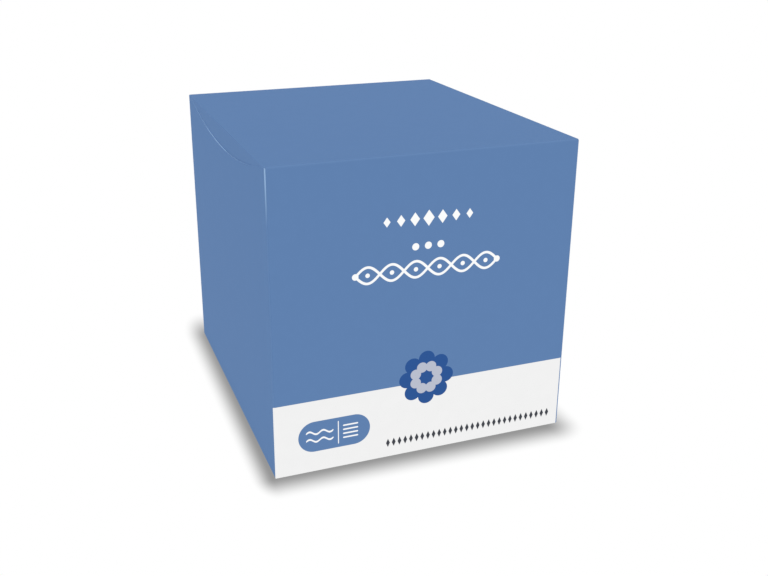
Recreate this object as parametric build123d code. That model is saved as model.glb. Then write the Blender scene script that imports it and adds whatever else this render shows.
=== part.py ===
from build123d import *

import os

# A sealed tissue carton: one printed board, folded round into a wrap of front, top, back and base panels and
# glued shut at its left and right ends. Nothing opens it or shows through it, so board and contents are one
# solid, and its folds, cut edges and glued flaps have their true form on the outside.
# Millimetres. X runs along the printed front from left to right, +Y to the back and +Z up. The origin is the
# middle of the base, on the surface that the carton stands on.

# Size of the carton, measured over its flat faces
carton_width = 111.1
carton_depth = 127.0
carton_height = 111.0

# The board
board_thickness = 0.45
fold_radius = 0.25

# The seam along the lower back edge, where the back panel is glued over a tab of the base panel
seam_rise = 0.5

# The tall flap at each end, hinged on the base panel and glued over all the others. It lies one board
# outside the corner creases, and its cut sides stop short of the front and the back.
tall_flap_inset = 0.15

# Its free edge is scooped, and ends in a narrow horn at the front and the back
scoop_dip = 8.2
horn_tip_width = 1.5
horn_top_gap = 0.4

# The short flap at each end, hinged on the top panel. The top panel is as wide as the carton, so the short
# flap slants in from its crease until it lies under the tall flap, just below the bottom of the scoop.
short_flap_inset = 0.35
short_flap_tuck = 1.0

# Places worked out from the sizes
flap_face = carton_width / 2
crease_face = flap_face - board_thickness
tall_flap_side = carton_depth / 2 - tall_flap_inset
short_flap_side = carton_depth / 2 - short_flap_inset
scoop_half_chord = tall_flap_side - horn_tip_width
scoop_radius = (scoop_half_chord**2 + scoop_dip**2) / (2 * scoop_dip)
scoop_bottom = carton_height - scoop_dip
horn_top = carton_height - horn_top_gap


def through(outline):
    """A flat outline on the YZ plane, extruded right through the carton from end to end."""
    return extrude(Plane.YZ * outline, amount=carton_width, both=True)


def folded_block():
    """Everything that lies under the end flaps: a block with a crease along every edge."""
    block = Pos(0, 0, carton_height / 2) * Box(2 * crease_face, carton_depth, carton_height)
    return fillet(block.edges(), fold_radius)


def seam_step():
    """What is missing at the lower back edge, where the base's creased tab goes up inside the back panel."""
    below_seam = Rectangle(carton_depth, seam_rise, align=(Align.MIN, Align.MIN))
    tab = Pos(-board_thickness / 2, carton_height / 2) * RectangleRounded(
        carton_depth - board_thickness, carton_height, fold_radius
    )
    return through(below_seam - tab)


def tall_flaps():
    """Both tall flaps with the folds that hinge them on the base panel, as one slab through the carton."""
    slab = Box(
        carton_width,
        2 * tall_flap_side,
        horn_top,
        align=(Align.CENTER, Align.CENTER, Align.MIN),
    )
    base_folds = slab.edges().filter_by(Axis.Y).sort_by(Axis.Z)[:2]
    scoop = Pos(0, scoop_bottom + scoop_radius) * Circle(scoop_radius)
    return fillet(base_folds, fold_radius) - through(scoop)


def short_flaps():
    """Both short flaps and the ends of the top panel that they hinge on, as one wedge through the carton."""
    tucked = scoop_bottom - short_flap_tuck
    slant = make_face(
        Polyline(
            (-flap_face, carton_height),
            (-crease_face, tucked),
            (crease_face, tucked),
            (flap_face, carton_height),
            close=True,
        )
    )
    slant = fillet(slant.vertices().sort_by(Axis.Y)[-2:], fold_radius)
    return extrude(Plane.XZ * slant, amount=short_flap_side, both=True)


def sealed_carton():
    return folded_block() - seam_step() + tall_flaps() + short_flaps()


os.makedirs("parts", exist_ok=True)
export_step(sealed_carton(), "parts/sealed_carton.step")
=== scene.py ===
# %% [markdown]
# # A sealed tissue carton
#
# A tissue carton is one sheet of printed board. It is creased, folded round its contents and glued shut at
# its left and right ends. The folds, the glued flaps and the scooped edge of each tall flap are already in
# the solid that this scene loads, at their real size, so nothing has to be modelled twice.
#
# What the solid lacks is everything that ink, varnish and paper fibre add. This scene first builds a plain
# studio to look at the carton in, and then makes all of that as one procedural material. All lengths are
# metres unless a name ends in _mm, and +Z is up, with the printed front facing -Y.

import math

import bmesh
import bpy
from mathutils import Matrix, Vector


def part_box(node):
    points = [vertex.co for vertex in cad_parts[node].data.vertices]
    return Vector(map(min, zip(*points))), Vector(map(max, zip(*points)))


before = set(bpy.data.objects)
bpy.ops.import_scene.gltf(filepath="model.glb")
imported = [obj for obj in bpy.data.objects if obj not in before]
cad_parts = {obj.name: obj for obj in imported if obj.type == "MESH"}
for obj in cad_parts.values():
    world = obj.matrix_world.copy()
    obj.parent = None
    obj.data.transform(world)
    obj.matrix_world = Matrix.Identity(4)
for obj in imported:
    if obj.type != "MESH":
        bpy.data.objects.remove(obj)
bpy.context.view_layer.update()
millimetres = 1000.0

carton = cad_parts["sealed_carton"]
carton_low, carton_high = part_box("sealed_carton")
carton_size_mm = [millimetres * length for length in carton_high - carton_low]
carton_width_mm, carton_depth_mm, carton_height_mm = carton_size_mm
half_width_mm = carton_width_mm / 2
half_depth_mm = carton_depth_mm / 2
print("carton, mm:", [round(length, 1) for length in carton_size_mm])

# %% [markdown]
# ## The camera
#
# The photograph sees the front, the left end and the top at once. The vertical edges of the carton run a
# little together towards the base, so the camera stands close and looks down. A camera can be set up by eye,
# but straight edges show the smallest error. So its place, its two angles and its focal length were worked
# out from the seven corners that the photograph shows. The lens is shifted a little because the picture was
# cropped off centre.

# %% Stand the camera where the photographer stood
camera_place = Vector((-0.12302, -0.33732, 0.18618))
camera_azimuth = math.radians(-20.03)
camera_elevation = math.radians(20.29)
focal_length_mm = 44.38
sensor_width_mm = 36.0
crop_shift = (0.0267, -0.0426)
nearest_seen = 0.01

camera = bpy.data.objects.new("camera", bpy.data.cameras.new("camera"))
camera.location = camera_place
camera.rotation_euler = (math.pi / 2 - camera_elevation, 0, camera_azimuth)
camera.data.lens = focal_length_mm
camera.data.sensor_width = sensor_width_mm
camera.data.shift_x, camera.data.shift_y = crop_shift
camera.data.clip_start = nearest_seen
bpy.context.scene.collection.objects.link(camera)
bpy.context.scene.camera = camera
carton_middle = (carton_low + carton_high) / 2
print("camera to carton, mm:", round(millimetres * (camera_place - carton_middle).length))

# %% [markdown]
# ## Arithmetic on shader sockets
#
# Print is flat shapes, and a flat shape is a short formula on where a point lies. Written with nodes by hand,
# each plus and minus would be four lines. So one small class holds a socket, and Python's own operators on it
# add the Math nodes. An operator that may have a plain number on its left also has its reflected form, so
# that 1 - mask works. The same class, with no socket yet, is the place from which a material's first nodes
# are added.

# %% A socket that can be calculated with
class Value:
    """An output socket, or none yet. Arithmetic on it adds Math nodes to its material."""

    def __init__(self, tree, socket=None):
        self.tree = tree
        self.socket = socket

    def node(self, kind, settings=None, sockets=None, output=0):
        """Adds any node: its settings first, then a number or another Value for each socket given."""
        made = self.tree.nodes.new(kind)
        for name, setting in (settings or {}).items():
            setattr(made, name, setting)
        for key, given in (sockets or {}).items():
            if isinstance(given, Value):
                self.tree.links.new(given.socket, made.inputs[key])
            else:
                made.inputs[key].default_value = given
        return Value(self.tree, made.outputs[output])

    def math(self, operation, *others, clamp=False):
        given = dict(enumerate((self, *others)))
        return self.node("ShaderNodeMath", {"operation": operation, "use_clamp": clamp}, given)

    def __add__(self, other):
        return self.math("ADD", other)

    def __sub__(self, other):
        return self.math("SUBTRACT", other)

    def __mul__(self, other):
        return self.math("MULTIPLY", other)

    def __truediv__(self, other):
        return self.math("DIVIDE", other)

    def __rsub__(self, other):
        return self.node("ShaderNodeMath", {"operation": "SUBTRACT"}, {0: other, 1: self})

    def __neg__(self):
        return self.math("MULTIPLY", -1)

    def __abs__(self):
        return self.math("ABSOLUTE")

    __radd__ = __add__

    def higher(self, other):
        return self.math("MAXIMUM", other)

    def over(self, level):
        """1 where this is more than level, else 0."""
        return self.math("GREATER_THAN", level)

    def clamped(self):
        return self.math("ADD", 0, clamp=True)

    def axis(self, name):
        """One axis of a vector socket."""
        return self.node("ShaderNodeSeparateXYZ", sockets={0: self}, output=name)


# %% Helpers for lengths, materials, light and colours
def length_of(across, up):
    """Distance from the middle, from how far a point lies across and up."""
    return (across * across + up * up).math("SQRT")


def blank_material(name):
    """A material with nothing in its node tree but the output."""
    material = bpy.data.materials.new(name)
    material.use_nodes = True
    material.node_tree.nodes.clear()
    output = material.node_tree.nodes.new("ShaderNodeOutputMaterial")
    return material, Value(material.node_tree), output


def looked_at(values):
    """1 where the camera looks, straight or by a reflection or through glass, and 0 for all other light."""
    straight, reflected, through_glass = [
        values.node("ShaderNodeLightPath", output=f"Is {kind} Ray")
        for kind in ("Camera", "Glossy", "Transmission")
    ]
    return straight.higher(reflected).higher(through_glass)


def linear(red, green, blue):
    """A colour as a picture file gives it, 0 to 255, turned into the linear light that shaders use."""
    parts = [part / 255 for part in (red, green, blue)]
    parts = [part / 12.92 if part <= 0.04045 else ((part + 0.055) / 1.055) ** 2.4 for part in parts]
    return (*parts, 1.0)


white = linear(255, 255, 255)
print("white in linear light:", white)

# %% [markdown]
# ## The floor and its shadow
#
# The carton stands on pure white, with a soft grey shadow that hugs its base. It reaches 9 mm past the left
# end and 14 mm past the front. At the right end and the back it starts to fade a little under the carton, and
# fades more slowly. A lamp could cast a soft shadow, but not one that hugs all four sides like this, so the
# floor draws it.
#
# The floor is one large flat sheet. Where the camera or a glossy surface looks at it, it glows with a
# strength of 1, which is white. The shadow takes its shade from how far a point of the floor lies past each
# side, with a smooth step from dark to none. Where a fade starts and how long it is both change a little
# along the side, and the two leans say by how much for each millimetre to the right or the back. For the
# light that it sends back to the carton, the floor is plain and even, as a lit studio table is.
#
# Two surfaces in exactly the same place can't be lit well, so the floor lies a twentieth of a millimetre
# under the base. It also isn't sampled as a lamp, because so large a lamp so close would light the base
# unevenly.

# %% Lay the floor
floor_reach = 6.0
floor_gap = 0.00005

floor_shape = bmesh.new()
just_under = Matrix.Translation((0, 0, -floor_gap))
bmesh.ops.create_grid(floor_shape, x_segments=1, y_segments=1, size=floor_reach, matrix=just_under)
floor_mesh = bpy.data.meshes.new("floor")
floor_shape.to_mesh(floor_mesh)
floor_shape.free()
floor = bpy.data.objects.new("floor", floor_mesh)
bpy.context.scene.collection.objects.link(floor)
print("floor, m across:", 2 * floor_reach)

# %% Draw the shadow round the base
shadow_left = {"start_mm": -0.35, "start_lean": -0.014, "fade_mm": 9.4, "fade_lean": 0.021}
shadow_right = {"start_mm": -5.4, "start_lean": 0.0, "fade_mm": 15.4, "fade_lean": 0.0}
shadow_front = {"start_mm": -0.4, "start_lean": 0.009, "fade_mm": 14.1, "fade_lean": 0.007}
shadow_back = {"start_mm": -5.5, "start_lean": 0.0, "fade_mm": 30.7, "fade_lean": 0.0}
shadow_depth = 0.696

floor_finish, at, floor_output = blank_material("studio_floor")
floor_place = at.node("ShaderNodeTexCoord", output="Object")
floor_right_mm = floor_place.axis("X") * millimetres
floor_back_mm = floor_place.axis("Y") * millimetres


def into_fade(past_side_mm, along_mm, shadow):
    """How far a point lies into one side's fade: 0 where it starts, 1 where the shadow is gone."""
    start_mm = along_mm * shadow["start_lean"] + shadow["start_mm"]
    fade_mm = along_mm * shadow["fade_lean"] + shadow["fade_mm"]
    return (past_side_mm - start_mm) / fade_mm


fade_left = into_fade(-floor_right_mm - half_width_mm, floor_back_mm, shadow_left)
fade_right = into_fade(floor_right_mm - half_width_mm, floor_back_mm, shadow_right)
fade_front = into_fade(-floor_back_mm - half_depth_mm, floor_right_mm, shadow_front)
fade_back = into_fade(floor_back_mm - half_depth_mm, floor_right_mm, shadow_back)
faded = length_of(fade_left.higher(fade_right).higher(0), fade_front.higher(fade_back).higher(0))
shade = at.node(
    "ShaderNodeMapRange",
    {"interpolation_type": "SMOOTHSTEP"},
    {"Value": faded, "From Min": 0.0, "From Max": 1.0, "To Min": 1.0 - shadow_depth, "To Max": 1.0},
)
print("darkest shade of the floor:", round(1.0 - shadow_depth, 3))

# %% Make the floor white to look at, and plain to the carton
floor_bounce = 0.92

seen_floor = at.node("ShaderNodeEmission", sockets={"Color": shade})
lighting_floor = at.node("ShaderNodeEmission", sockets={"Strength": floor_bounce})
clear = at.node("ShaderNodeBsdfTransparent")
from_below = at.node("ShaderNodeNewGeometry", output="Backfacing")
upper_side = at.node("ShaderNodeMixShader", sockets={0: looked_at(at), 1: lighting_floor, 2: seen_floor})
both_sides = at.node("ShaderNodeMixShader", sockets={0: from_below, 1: upper_side, 2: clear})
floor_finish.node_tree.links.new(both_sides.socket, floor_output.inputs["Surface"])
floor_finish.cycles.emission_sampling = "NONE"
floor.data.materials.append(floor_finish)
print("light that the floor sends back:", floor_bounce)

# %% [markdown]
# ## Studio light
#
# In the photograph the front and the left end have exactly the same blue, and the top is only a shade paler.
# So the light is nearly the same from everywhere: a white dome, and one very soft lamp from the front left.
# Softboxes would do the same, but a dome has no edge that could show as a pattern of light. The lamp stands
# high enough to add a little more to the top than to the front, and it leaves the back and the right end a
# little quieter. Like the floor, the dome shows as white to the camera and sends out its own level of light.

# %% Hang the dome and the lamp
dome_level = 0.86
lamp_level = 0.62
lamp_softness = math.radians(80)
lamp_direction = Vector((-0.6, -1, 1.3))

world = bpy.data.worlds.new("studio_dome")
bpy.context.scene.world = world
world.use_nodes = True
world.node_tree.nodes.clear()
sky = Value(world.node_tree)
sky_output = world.node_tree.nodes.new("ShaderNodeOutputWorld")
sky_seen = looked_at(sky)
dome = sky.node(
    "ShaderNodeBackground",
    sockets={"Color": white, "Strength": sky_seen + (1 - sky_seen) * dome_level},
)
world.node_tree.links.new(dome.socket, sky_output.inputs["Surface"])

lamp = bpy.data.objects.new("soft_lamp", bpy.data.lights.new("soft_lamp", "SUN"))
lamp.data.energy = lamp_level
lamp.data.angle = lamp_softness
lamp.rotation_euler = lamp_direction.to_track_quat("Z", "Y").to_euler()
bpy.context.scene.collection.objects.link(lamp)
bpy.context.scene.view_settings.view_transform = "Standard"
print("light: dome", dome_level, "lamp", lamp_level)

# %% [markdown]
# ## Where a point lies on the print
#
# The print is laid out like the printer's own drawing: across, in millimetres from the middle of the front
# panel, and up, in millimetres from the base. A UV map could carry it, but it would have to be laid out by
# hand on a mesh of loose triangles. Object coordinates give across and up at once, because the carton's
# object sits at the origin. Only the front panel has more than blue on it. Its print runs round its creases
# and over the cut edges beside them, so everything in the foremost quarter of a millimetre belongs to it.

# %% Read across, up and the panel
board, at, board_output = blank_material("printed_board")
position = at.node("ShaderNodeTexCoord", output="Object")
across_mm = position.axis("X") * millimetres
back_mm = position.axis("Y") * millimetres
up_mm = position.axis("Z") * millimetres
facing = at.node("ShaderNodeNewGeometry", output="True Normal")
facing_back = facing.axis("Y")
facing_up = facing.axis("Z")
front_print_depth_mm = 0.25
on_front = (-back_mm).over(half_depth_mm - front_print_depth_mm)
print("front panel, mm:", round(carton_width_mm, 1), "by", round(carton_height_mm, 1))

# %% [markdown]
# ## Shapes of ink
#
# A picture file could hold the print, but it would blur close up. A formula stays sharp at any distance and
# can be changed by one number. Each shape here is a formula for how far a point lies outside its edge,
# negative inside, and one function turns that distance into ink. The edge isn't a hard step: ink spreads into
# the paper over a few hundredths of a millimetre, and that also keeps the edge from looking cut with a knife.

# %% Turn distances into ink
ink_spread_mm = 0.06


def ink(outside):
    """Ink cover, 1 inside the shape and 0 outside it, from the distance outside its edge."""
    return (0.5 - outside / ink_spread_mm).clamped()


def disc(centre, radius):
    return length_of(across_mm - centre[0], up_mm - centre[1]) - radius


def bar(centre, length, thickness):
    """A straight bar lying across, with fully rounded ends."""
    past_end = (abs(across_mm - centre[0]) - (length - thickness) / 2).higher(0)
    return length_of(past_end, up_mm - centre[1]) - thickness / 2


def upright(centre, height, thickness):
    """The same bar standing up."""
    past_end = (abs(up_mm - centre[1]) - (height - thickness) / 2).higher(0)
    return length_of(across_mm - centre[0], past_end) - thickness / 2


def lozenge(across, up, width, height):
    """A diamond round the point where across and up are 0."""
    slope = math.hypot(width, height)
    return (abs(across) * height + abs(up) * width - width * height / 2) / slope


print("ink spreads over, mm:", ink_spread_mm)

# %% [markdown]
# ## The white band and its tag
#
# The lower quarter of the front is bare white board. It starts at the very corner on the left, and stops a
# hair short of the corner on the right, where a thin line of blue is left, because the print doesn't fall
# exactly on the creases. A blue tag with round ends lies on the band, left of the middle, parted by a thin
# white line. On the left of that line two wavy strokes stand for the two layers of a tissue, on the right a
# few flat strokes for the pile. Each could be a thin mesh laid on the panel, but ink has no thickness and
# casts no shadow. So they are masks, which the inks further down follow.

# %% Lay out the band and the tag
band_height_mm = 27.75
band_right_gap_mm = 0.35
tag_centre = (-33.9, 13.8)
tag_length_mm = 26.3
tag_height_mm = 11.8

band = ink(up_mm - band_height_mm) * ink(across_mm - (half_width_mm - band_right_gap_mm))
tag = ink(bar(tag_centre, tag_length_mm, tag_height_mm))
print("band, mm high:", band_height_mm, "tag, mm long:", tag_length_mm)

# %% Draw the marks in the tag
parting_place = (-32.5, 13.8)
parting_height_mm = 9.0
parting_width_mm = 0.33
wave_centres = ((-39.3, 15.3), (-39.3, 12.3))
wave_length_mm = 10.0
wave_period_mm = 5.0
wave_swing_mm = 0.6
wave_thickness_mm = 0.7
pile_centre = (-28.0, 13.8)
pile_length_mm = 5.6
pile_count = 4
pile_pitch_mm = 1.6
pile_thickness_mm = 0.56

tag_marks = ink(upright(parting_place, parting_height_mm, parting_width_mm))

for centre in wave_centres:
    wave = ((across_mm - centre[0]) * (2 * math.pi / wave_period_mm)).math("SINE") * wave_swing_mm
    past_end = (abs(across_mm - centre[0]) - (wave_length_mm - wave_thickness_mm) / 2).higher(0)
    stroke = length_of(past_end, up_mm - centre[1] - wave) - wave_thickness_mm / 2
    tag_marks = tag_marks.higher(ink(stroke))

for layer in range(pile_count):
    height = pile_centre[1] + (layer - (pile_count - 1) / 2) * pile_pitch_mm
    tag_marks = tag_marks.higher(ink(bar((pile_centre[0], height), pile_length_mm, pile_thickness_mm)))
print("marks in the tag:", 1 + len(wave_centres) + pile_count)

# %% [markdown]
# ## A rosette on the band's edge
#
# A flower of round petals sits half on the blue and half on the white. All its petals come from one: the
# angle round the middle is folded into a single slice, and the slice holds one round petal. That is how a
# kaleidoscope makes its figure, and it costs no more nodes for eight petals than for one.

# %% Draw the rosette
rosette_centre = (0.5, 29.4)
petal_count = 8
petal_ring_mm = 7.3
petal_radius_mm = 3.05
inner_ring_mm = 4.4
inner_radius_mm = 2.0
eye_radius_mm = 2.0

rosette_across = across_mm - rosette_centre[0]
rosette_up = up_mm - rosette_centre[1]
rosette_reach = length_of(rosette_across, rosette_up)
slice_angle = math.pi / petal_count
turn = rosette_up.math("ARCTAN2", rosette_across)


def petal(ring, radius, first_turn):
    """One round petal on a ring, repeated all the way round by folding the angle."""
    folded = (turn + first_turn + 2 * math.pi).math("PINGPONG", slice_angle)
    along = rosette_reach * folded.math("COSINE")
    beside = rosette_reach * folded.math("SINE")
    return length_of(along - ring, beside) - radius


dark_petals = ink(petal(petal_ring_mm, petal_radius_mm, 0)).higher(ink(rosette_reach - petal_ring_mm))
pale_petals = ink(petal(inner_ring_mm, inner_radius_mm, slice_angle))
eye = ink(rosette_reach - eye_radius_mm)
print("rosette, mm across:", round(2 * (petal_ring_mm + petal_radius_mm), 1))

# %% [markdown]
# ## Ornament in white
#
# The upper part of the front holds three plain printer's ornaments, in white ink over the blue. The
# largest is a twist: two wavy strokes that cross over and over, as two cords do, with a dot in each eye and a
# knot at each end. The strokes mirror each other, so one formula draws both from the height over their axis.
# Three dots and a row of lozenges that shrink towards both ends stand above it.

# %% Draw the twist
twist_height_mm = 71.0
twist_eye_count = 6
twist_eye_mm = 8.7
twist_swing_mm = 2.9
twist_thickness_mm = 0.9
twist_dot_mm = 0.8
twist_knot_mm = 1.15

from_middle = abs(across_mm)
twist_half_length_mm = twist_eye_count * twist_eye_mm / 2
twist_up = abs(up_mm - twist_height_mm)
twist_phase = (across_mm + twist_half_length_mm) * (math.pi / twist_eye_mm)
twist_line = abs(twist_phase.math("SINE")) * twist_swing_mm
twist_slope = twist_phase.math("COSINE") * (twist_swing_mm * math.pi / twist_eye_mm)
twist_stroke = abs(twist_up - twist_line) / (twist_slope * twist_slope + 1).math("SQRT")
twist_past_end = (from_middle - twist_half_length_mm).higher(0)
twist = ink(length_of(twist_stroke, twist_past_end) - twist_thickness_mm / 2)
in_eye = (across_mm + twist_half_length_mm).math("PINGPONG", twist_eye_mm / 2) - twist_eye_mm / 2
twist_dots = ink(length_of(in_eye, twist_up) - twist_dot_mm) * ink(from_middle - twist_half_length_mm)
twist_knots = ink(length_of(from_middle - twist_half_length_mm, twist_up) - twist_knot_mm)
white_marks = twist.higher(twist_dots).higher(twist_knots)
print("twist, mm long:", round(2 * twist_half_length_mm, 1))

# %% Set the dots and the lozenges above it
dot_row_height_mm = 79.1
dot_pitch_mm = 4.6
dot_radius_mm = 1.28
lozenge_row_height_mm = 88.8
lozenge_row_side_count = 3
lozenge_row_pitch_mm = 5.0
lozenge_row_size_mm = 5.65
lozenge_row_shrink = 0.85
lozenge_slimness = 0.72

white_marks = white_marks.higher(ink(disc((0, dot_row_height_mm), dot_radius_mm)))
side_dot = length_of(from_middle - dot_pitch_mm, up_mm - dot_row_height_mm) - dot_radius_mm
white_marks = white_marks.higher(ink(side_dot))

for step in range(lozenge_row_side_count + 1):
    size = lozenge_row_size_mm * lozenge_row_shrink**step
    row_up = up_mm - lozenge_row_height_mm
    mark = lozenge(from_middle - step * lozenge_row_pitch_mm, row_up, size * lozenge_slimness, size)
    white_marks = white_marks.higher(ink(mark))
print("lozenges in the row:", 1 + 2 * lozenge_row_side_count)

# %% [markdown]
# ## A fine dark border on the band
#
# Along the foot of the band runs a row of small dark beads, the finest print on the carton. A loop could draw
# them one by one, at the cost of a dozen nodes for each. Here one bead is drawn and repeated: the ping-pong
# operation folds across back and forth, so every bead sees the same few millimetres.

# %% Draw the bead border
bead_row_height_mm = 5.65
bead_row_start_mm = -15.0
bead_pitch_mm = 2.23
bead_count = 30
bead_width_mm = 1.5
bead_height_mm = 3.4
bead_row_length_mm = bead_count * bead_pitch_mm

along_row = across_mm - bead_row_start_mm
in_bead = along_row.math("PINGPONG", bead_pitch_mm / 2) - bead_pitch_mm / 2
beads = ink(lozenge(in_bead, up_mm - bead_row_height_mm, bead_width_mm, bead_height_mm))
beads = beads * ink(-along_row) * ink(along_row - bead_row_length_mm)
print("bead border, mm long:", round(bead_row_length_mm, 1))

# %% [markdown]
# ## Inks
#
# Math nodes would turn a colour grey, so colours go through Mix nodes, one ink over another in the order of
# the press: blue over the whole sheet except where the bare board is left, then white, the dark and the pale
# blue of the rosette, and the dark beads. The white ink is a little brighter than the bare board. A Mix node
# has sockets for numbers, vectors and colours side by side, so its two colours are reached by their place in
# the row.

# %% Print the board
bare_board = linear(241, 241, 241)
flood_blue = linear(96, 129, 175)
white_ink = linear(251, 252, 252)
dark_blue = linear(47, 86, 148)
pale_blue = linear(186, 191, 206)
bead_ink = linear(66, 69, 76)
first_colour_socket = 6
second_colour_socket = 7
mixed_colour_output = 2


def print_over(under, over, cover, blend="MIX"):
    """One colour over another, where cover is 1."""
    return at.node(
        "ShaderNodeMix",
        {"data_type": "RGBA", "blend_type": blend},
        {"Factor": cover, first_colour_socket: under, second_colour_socket: over},
        output=mixed_colour_output,
    )


blue_cover = 1 - on_front * band * (1 - tag)
colour = print_over(bare_board, flood_blue, blue_cover)
colour = print_over(colour, white_ink, on_front * white_marks.higher(tag_marks))
colour = print_over(colour, dark_blue, on_front * dark_petals)
colour = print_over(colour, pale_blue, on_front * pale_petals)
colour = print_over(colour, dark_blue, on_front * eye)
colour = print_over(colour, bead_ink, on_front * beads)
print("nodes for the print:", len(board.node_tree.nodes))

# %% [markdown]
# ## Cut edges
#
# Where the board was cut instead of creased, its pale core can show. An upright cut edge is as blue as the
# faces at its outer side, and a trace paler towards its inner side: that paleness is painted light, just
# enough to cancel the shadow in its corner. A scooped edge is clearly paler, partly from its pale core and
# partly from painted light that cancels the shade in the corner of its step. Both are paler still on the left
# end's upright cut edges over their top
# 19 mm, and on each scooped edge from just before the middle to halfway to the back. The pale strips could be
# pieces of their own, but they would be thinner than a hair and would only double faces that the solid
# already has. So the material finds the cut faces by where they lie and which way they point: outside the
# creases, below the top, and not facing straight out.
#
# The front and back creases of the top carry a painted highlight: they are painted a trace paler than the
# panels, as if light caught their rounded folds.

# %% Find the cut edges
board_thickness_mm = 0.45
crease_slack_mm = 0.02
top_crease_mm = 0.2
half_turned = math.sqrt(0.5)

past_crease_mm = from_middle - (half_width_mm - board_thickness_mm)
below_top_mm = carton_height_mm - up_mm
cut_face = past_crease_mm.over(crease_slack_mm) * below_top_mm.over(top_crease_mm)
upright_edge = cut_face * abs(facing_back).over(half_turned)
scooped_edge = cut_face * facing_up.over(half_turned)
print("board, mm thick:", board_thickness_mm)

# %% Pale the cut edges, paint light into their corners and paint highlights on the creases
# the pale core of the board, also used as the colour of the painted light on the cut edges and of the crease
# highlights
core_and_painted_light = linear(186, 219, 250)
# painted light: the inner side of each upright cut edge is a trace paler, to cancel the shadow in its corner
upright_painted_light_cover = 0.05
# paler still over the top 19 mm of the left end's upright cut edges
upright_pale_cover = 0.47
upright_pale_foot_mm = 92.0
upright_pale_fade_mm = 14.0
# the scooped edge's pale core, plus painted light that cancels the shade in the corner of its step
scoop_core_and_painted_light_cover = 0.49
# paler still on each scooped edge from just before the middle to halfway to the back
scoop_pale_cover = 0.27
scoop_pale_front_mm = -9.0
scoop_pale_back_mm = 30.0
scoop_pale_fade_mm = 4.0
# painted highlight along the top's front and back creases
crease_highlight_cover = 0.035
crease_highlight_reach_mm = 0.7

pale_height = ((up_mm - upright_pale_foot_mm) / upright_pale_fade_mm).clamped()
on_left_end = (-across_mm).over(0)
inner_side = (1 - past_crease_mm / board_thickness_mm).clamped()
upright_cover = pale_height * on_left_end * upright_pale_cover + inner_side * upright_painted_light_cover
pale_from = ((back_mm - scoop_pale_front_mm) / scoop_pale_fade_mm).clamped()
pale_to = ((scoop_pale_back_mm - back_mm) / scoop_pale_fade_mm).clamped()
scoop_cover = pale_from * pale_to * scoop_pale_cover + scoop_core_and_painted_light_cover

from_top_crease_mm = below_top_mm.higher(half_depth_mm - abs(back_mm))
# painted highlight: a trace paler within this reach of the top's front and back creases
crease_highlight = (1 - from_top_crease_mm / crease_highlight_reach_mm).clamped() * crease_highlight_cover

# where the core shows, together with the painted light on the cut edges and the painted highlights on the
# creases
core_and_painted_light_cover = (upright_edge * upright_cover).higher(scooped_edge * scoop_cover).higher(crease_highlight)
colour = print_over(colour, core_and_painted_light, core_and_painted_light_cover)
print("core seen on the scooped edge, bled and rubbed:", scoop_core_and_painted_light_cover, scoop_core_and_painted_light_cover + scoop_pale_cover)

# %% [markdown]
# ## The surface of the board
#
# Carton board is a mat of fibres under clay and a thin varnish. Close up it is faintly mottled, its gloss
# varies from fibre to fibre, and its surface has a fine tooth. A scanned paper could give all of that, but
# two noises do it with no file and no seams: a fine one for the fibres and a coarse one for the mottle. Both
# stay weak, so from a step away the faces are even. The varnish is matt, so it has next to no highlights.

# %% Finish the board
fibre_scale = 2600.0
fibre_detail = 3.0
fibre_roughness = 0.6
mottle_scale = 240.0
mottle_detail = 2.0
mottle_roughness = 0.5
mottle_depth = 0.03
least_roughness = 0.6
roughness_swing = 0.14
tooth_strength = 0.12
tooth_height = 0.00005
varnish_specular = 0.01


def noise(scale, detail, roughness):
    return at.node(
        "ShaderNodeTexNoise",
        sockets={"Vector": position, "Scale": scale, "Detail": detail, "Roughness": roughness},
    )


fibre = noise(fibre_scale, fibre_detail, fibre_roughness)
mottle = noise(mottle_scale, mottle_detail, mottle_roughness)
paper_shade = 1 - mottle_depth + (fibre + mottle) * mottle_depth
paper = at.node("ShaderNodeCombineColor", sockets={0: paper_shade, 1: paper_shade, 2: paper_shade})
colour = print_over(colour, paper, 1.0, "MULTIPLY")
tooth = at.node(
    "ShaderNodeBump",
    sockets={"Strength": tooth_strength, "Distance": tooth_height, "Height": fibre},
)
surface = at.node(
    "ShaderNodeBsdfPrincipled",
    sockets={
        "Base Color": colour,
        "Roughness": least_roughness + fibre * roughness_swing,
        "Specular IOR Level": varnish_specular,
        "Normal": tooth,
    },
)
board.node_tree.links.new(surface.socket, board_output.inputs["Surface"])
carton.data.materials.clear()
carton.data.materials.append(board)
print("nodes in the board's material:", len(board.node_tree.nodes))
